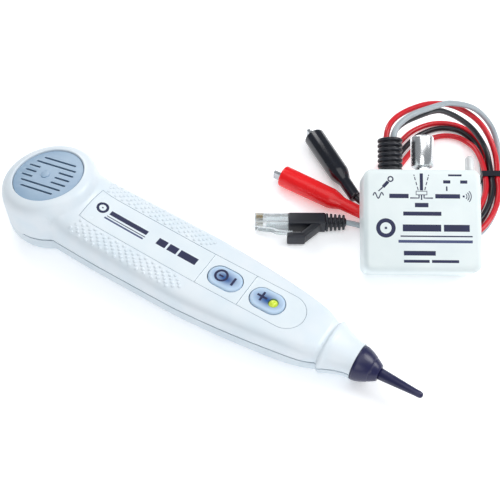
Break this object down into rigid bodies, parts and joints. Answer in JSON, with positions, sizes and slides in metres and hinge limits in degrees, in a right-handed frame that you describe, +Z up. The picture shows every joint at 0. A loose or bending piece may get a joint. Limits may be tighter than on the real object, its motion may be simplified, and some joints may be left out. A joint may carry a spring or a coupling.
{
  "type": "tone probe kit",
  "caption": "Handheld tone probe with a round speaker head and pointed tip, and a leaning tone generator box with toggle, clip leads and plug lead.",
  "frame": {"origin": "centre of the flat underside of the probe's round head, on the surface the kit lies on", "axes": "+X along the probe from its head to its tip, +Z up out of the probe's keys"},
  "size_m": [0.2506, 0.2109, 0.0517],
  "materials": {
    "shell_plastic": "moulded ABS, fine satin",
    "panel_plastic": "satin inlay",
    "grille_plastic": "satin",
    "key_rubber": "moulded silicone keys",
    "membrane": "silicone sheet",
    "light_lens": "tinted lens",
    "clear_lens": "clear epoxy lens",
    "tip_plastic": "moulded conductive plastic",
    "case_plastic": "moulded ABS, satin",
    "steel": "zinc plated",
    "chrome": "polished plate",
    "brass": "gold-plated contact",
    "board": "solder mask over glass laminate",
    "dark_plastic": "moulded",
    "battery_wrap": "printed steel jacket",
    "cone_paper": "pressed paper pulp",
    "black_vinyl": "moulded vinyl",
    "red_vinyl": "moulded vinyl",
    "red_sleeve": "extruded vinyl",
    "black_sleeve": "extruded vinyl",
    "grey_sleeve": "extruded vinyl",
    "clear_plastic": "clear polycarbonate"
  },
  "bodies": {
    "probe": {"top_shell": "shell_plastic", "bottom_shell": "shell_plastic", "battery_door": "shell_plastic", "battery_door_screw": "steel", "shell_screws": "steel", "speaker_grille": "grille_plastic", "speaker_gasket": "dark_plastic", "speaker_frame": "steel", "speaker_cone": "cone_paper", "speaker_magnet": "steel", "name_panel": "panel_plastic", "power_panel": "panel_plastic", "volume_panel": "panel_plastic", "volume_light": "light_lens", "keypad_membrane": "membrane", "probe_circuit_board": "board", "tactile_switches": "dark_plastic", "probe_battery": "battery_wrap", "probe_battery_snap": "dark_plastic", "tip_holder": "tip_plastic", "probe_tip": "tip_plastic", "tip_contact": "brass", "tip_spring": "steel"},
    "generator": {"generator_front_case": "case_plastic", "generator_back_case": "case_plastic", "generator_screws": "steel", "generator_light": "clear_lens", "generator_circuit_board": "board", "generator_battery": "battery_wrap", "generator_battery_snap": "dark_plastic", "lead_boot": "black_vinyl", "toggle_housing": "dark_plastic", "toggle_bushing": "steel", "toggle_nut": "steel", "red_lead": "red_sleeve", "black_lead": "black_sleeve", "grey_lead": "grey_sleeve", "lead_tie": "dark_plastic", "red_clip_boot": "red_vinyl", "red_fixed_jaw": "steel", "red_clip_pin": "steel", "red_clip_spring": "steel", "black_clip_boot": "black_vinyl", "black_fixed_jaw": "steel", "black_clip_pin": "steel", "black_clip_spring": "steel", "plug_boot": "black_vinyl", "plug_body": "clear_plastic", "plug_contacts": "brass"},
    "power_key": {"power_button": "key_rubber"},
    "volume_key": {"volume_button": "key_rubber"},
    "toggle": {"toggle_lever": "steel", "toggle_cap": "chrome"},
    "red_jaw": {"red_moving_jaw": "steel"},
    "black_jaw": {"black_moving_jaw": "steel"},
    "latch": {"plug_latch": "clear_plastic"}
  },
  "joints": [
    {"name": "power_press", "type": "slide", "parent": "probe", "child": "power_key", "axis": [0, 0, -1], "range_m": [0, 0.001], "stiffness_N_per_m": 400, "springref_m": -0.0005},
    {"name": "volume_press", "type": "slide", "parent": "probe", "child": "volume_key", "axis": [0, 0, -1], "range_m": [0, 0.001], "stiffness_N_per_m": 400, "springref_m": -0.0005},
    {"name": "generator_lift", "type": "slide", "parent": "probe", "child": "generator", "axis": [0, 0, 1], "range_m": [0, 0.12]},
    {"name": "toggle_swing", "type": "hinge", "parent": "generator", "child": "toggle", "pos_m": [0.16834, 0.10684, 0.03697], "axis": [0.2612, -0.4263, 0.866], "range_deg": [-10, 10]},
    {"name": "red_jaw_open", "type": "hinge", "parent": "generator", "child": "red_jaw", "pos_m": [0.1111, 0.08858, 0.0063], "axis": [0, 0, -1], "range_deg": [0, 9], "stiffness_Nm_per_rad": 0.2, "springref_deg": -5.73},
    {"name": "black_jaw_open", "type": "hinge", "parent": "generator", "child": "black_jaw", "pos_m": [0.10817, 0.11559, 0.0063], "axis": [0, 0, -1], "range_deg": [0, 9], "stiffness_Nm_per_rad": 0.2, "springref_deg": -5.73},
    {"name": "latch_press", "type": "hinge", "parent": "generator", "child": "latch", "pos_m": [0.10151, 0.0495, 0.0044], "axis": [0, 0, 1], "range_deg": [0, 8], "stiffness_Nm_per_rad": 0.05, "springref_deg": -2.86}
  ]
}
